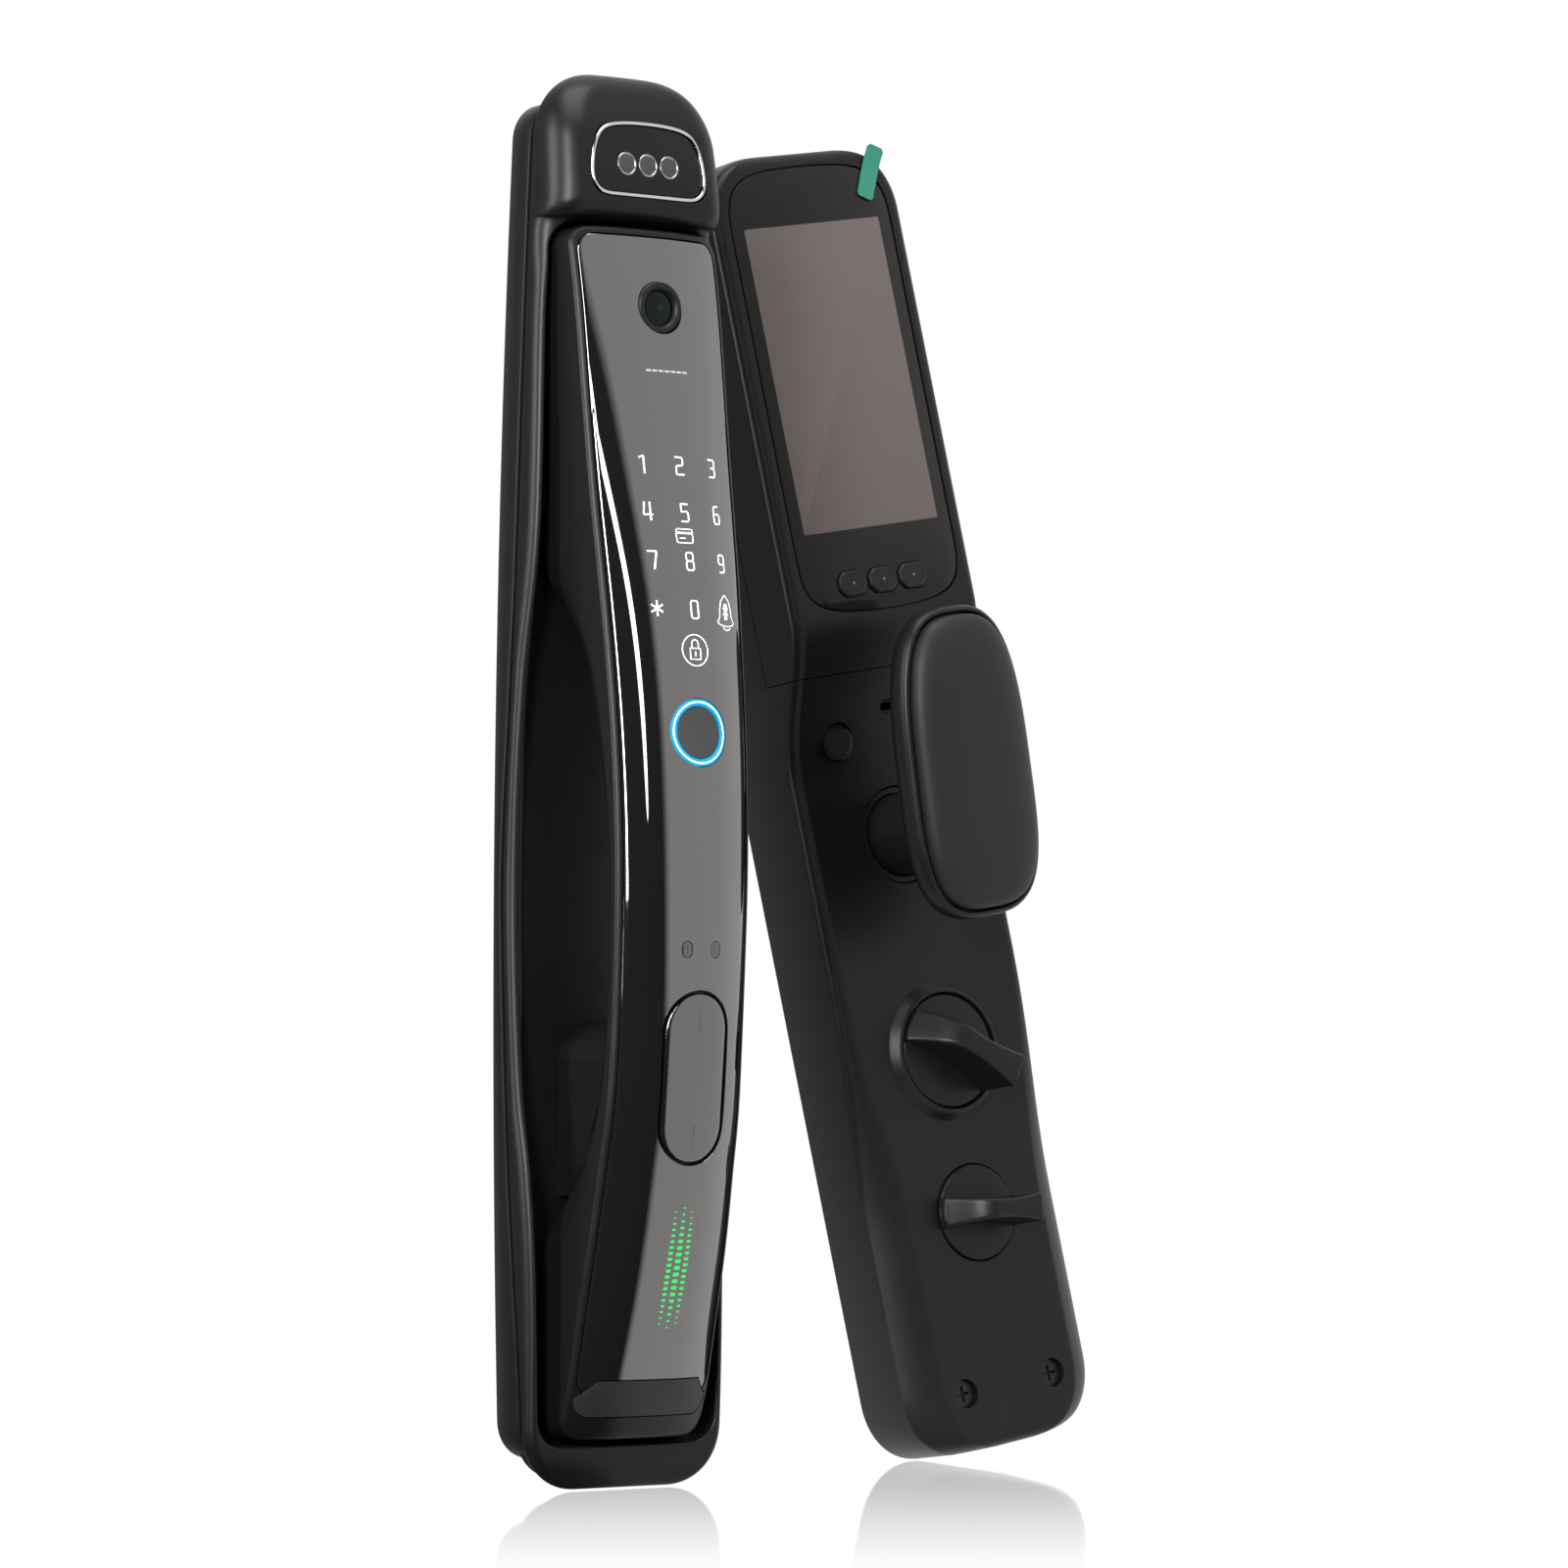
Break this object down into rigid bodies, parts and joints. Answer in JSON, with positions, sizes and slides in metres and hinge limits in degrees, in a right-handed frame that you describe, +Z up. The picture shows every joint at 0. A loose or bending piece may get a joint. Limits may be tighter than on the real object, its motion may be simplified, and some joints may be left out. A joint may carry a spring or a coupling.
{
  "type": "keypad smart lock",
  "caption": "Two-sided electronic door lock: outside unit with bow pull, touch keypad, fingerprint and face sensors; inside unit with screen, paddle handle and turn knobs.",
  "frame": {"origin": "centre of the two units' shared footprint, on the floor plane under both", "axes": "+Z up along the outside unit, -Y out of the door face of the outside unit (the side the keypad faces), +X from the outside unit towards the inside unit"},
  "size_m": [0.2508, 0.1428, 0.428],
  "materials": {
    "satin_black_metal": "satin black powder coat",
    "black_rubber": "matt",
    "touch_glass": "gloss black, opaque",
    "key_cover_gloss": "gloss dark",
    "black_plastic": "fine texture",
    "pad_black": "satin",
    "chrome_trim": "polished",
    "lens_dark": "clear dark lens",
    "sensor_dark": "smooth",
    "ring_light": "diffusing light guide, lit blue-white",
    "board_green": "solder mask",
    "steel": "plain",
    "black_screw": "black oxide",
    "brass": "machined",
    "display_grey": "unlit display",
    "membrane_grey": "silicone",
    "film_teal": "thin film",
    "battery_blue": "shrink wrap"
  },
  "bodies": {
    "lock_units": {"door_gasket": "black_rubber", "rear_shell": "satin_black_metal", "front_shell": "satin_black_metal", "face_window_bezel": "chrome_trim", "face_projector_lens": "lens_dark", "face_camera_lens": "lens_dark", "face_infrared_lens": "lens_dark", "face_window": "touch_glass", "face_camera_board": "board_green", "bow_handle_frame": "satin_black_metal", "handle_end_cap": "satin_black_metal", "touch_panel": "touch_glass", "doorbell_camera_barrel": "black_plastic", "doorbell_camera_lens": "lens_dark", "fingerprint_light_ring": "ring_light", "fingerprint_sensor": "sensor_dark", "fingerprint_board": "board_green", "presence_sensor_left": "sensor_dark", "presence_sensor_right": "sensor_dark", "keypad_board": "board_green", "status_led_board": "board_green", "key_cover_hinge_pin": "steel", "key_cover_bracket": "black_plastic", "cylinder_column": "satin_black_metal", "key_cylinder": "steel", "interior_housing": "satin_black_metal", "mounting_plate": "steel", "housing_screw_left": "black_screw", "housing_screw_right": "black_screw", "battery_pack": "battery_blue", "control_board": "board_green", "charging_socket": "steel", "chime_speaker": "black_plastic", "handle_bush": "black_plastic", "handle_return_spring": "steel"},
    "key_cover": {"key_cover": "key_cover_gloss"},
    "key_plug": {"key_plug": "brass"},
    "battery_cover": {"battery_cover": "satin_black_metal", "screen_glass": "touch_glass", "display_panel": "display_grey", "button_membrane": "membrane_grey", "screen_board": "board_green", "film_pull_tab": "film_teal"},
    "call_button": {"call_button": "black_plastic"},
    "view_button": {"view_button": "black_plastic"},
    "menu_button": {"menu_button": "black_plastic"},
    "open_button": {"open_button": "black_plastic"},
    "paddle_handle": {"handle_stem": "satin_black_metal", "paddle_frame": "satin_black_metal", "paddle_pad": "pad_black"},
    "deadbolt_turn": {"deadbolt_knob": "satin_black_metal", "deadbolt_spindle": "steel"},
    "privacy_turn": {"privacy_knob": "satin_black_metal", "privacy_spindle": "steel"}
  },
  "joints": [
    {"name": "key_cover_hinge", "type": "hinge", "parent": "lock_units", "child": "key_cover", "pos_m": [-0.08682, -0.0667, 0.1424], "axis": [-1, 0, 0], "range_deg": [0, 75]},
    {"name": "key_turn", "type": "hinge", "parent": "lock_units", "child": "key_plug", "pos_m": [-0.08682, -0.0586, 0.112], "axis": [0, -1, 0], "range_deg": [0, 90]},
    {"name": "battery_cover_slide", "type": "slide", "parent": "lock_units", "child": "battery_cover", "axis": [-0.1582, 0.1118, 0.9811], "range_m": [0, 0.01]},
    {"name": "call_button_press", "type": "slide", "parent": "battery_cover", "child": "call_button", "axis": [0, 0.9936, -0.1132], "range_m": [0, 0.0008], "stiffness_N_per_m": 500},
    {"name": "view_button_press", "type": "slide", "parent": "battery_cover", "child": "view_button", "axis": [0, 0.9936, -0.1132], "range_m": [0, 0.0008], "stiffness_N_per_m": 500},
    {"name": "menu_button_press", "type": "slide", "parent": "battery_cover", "child": "menu_button", "axis": [0, 0.9936, -0.1132], "range_m": [0, 0.0008], "stiffness_N_per_m": 500},
    {"name": "open_button_press", "type": "slide", "parent": "lock_units", "child": "open_button", "axis": [0, 0.9936, -0.1132], "range_m": [0, 0.001], "stiffness_N_per_m": 500},
    {"name": "paddle_turn", "type": "hinge", "parent": "lock_units", "child": "paddle_handle", "pos_m": [0.05911, 0.01644, 0.20154], "axis": [0, -0.9936, 0.1132], "range_deg": [-45, 45], "stiffness_Nm_per_rad": 1.2},
    {"name": "deadbolt_turn", "type": "hinge", "parent": "lock_units", "child": "deadbolt_turn", "pos_m": [0.07039, 0.00847, 0.13159], "axis": [0, -0.9936, 0.1132], "range_deg": [0, 90]},
    {"name": "privacy_turn", "type": "hinge", "parent": "lock_units", "child": "privacy_turn", "pos_m": [0.07874, 0.00257, 0.07979], "axis": [0, -0.9936, 0.1132], "range_deg": [0, 90]}
  ]
}
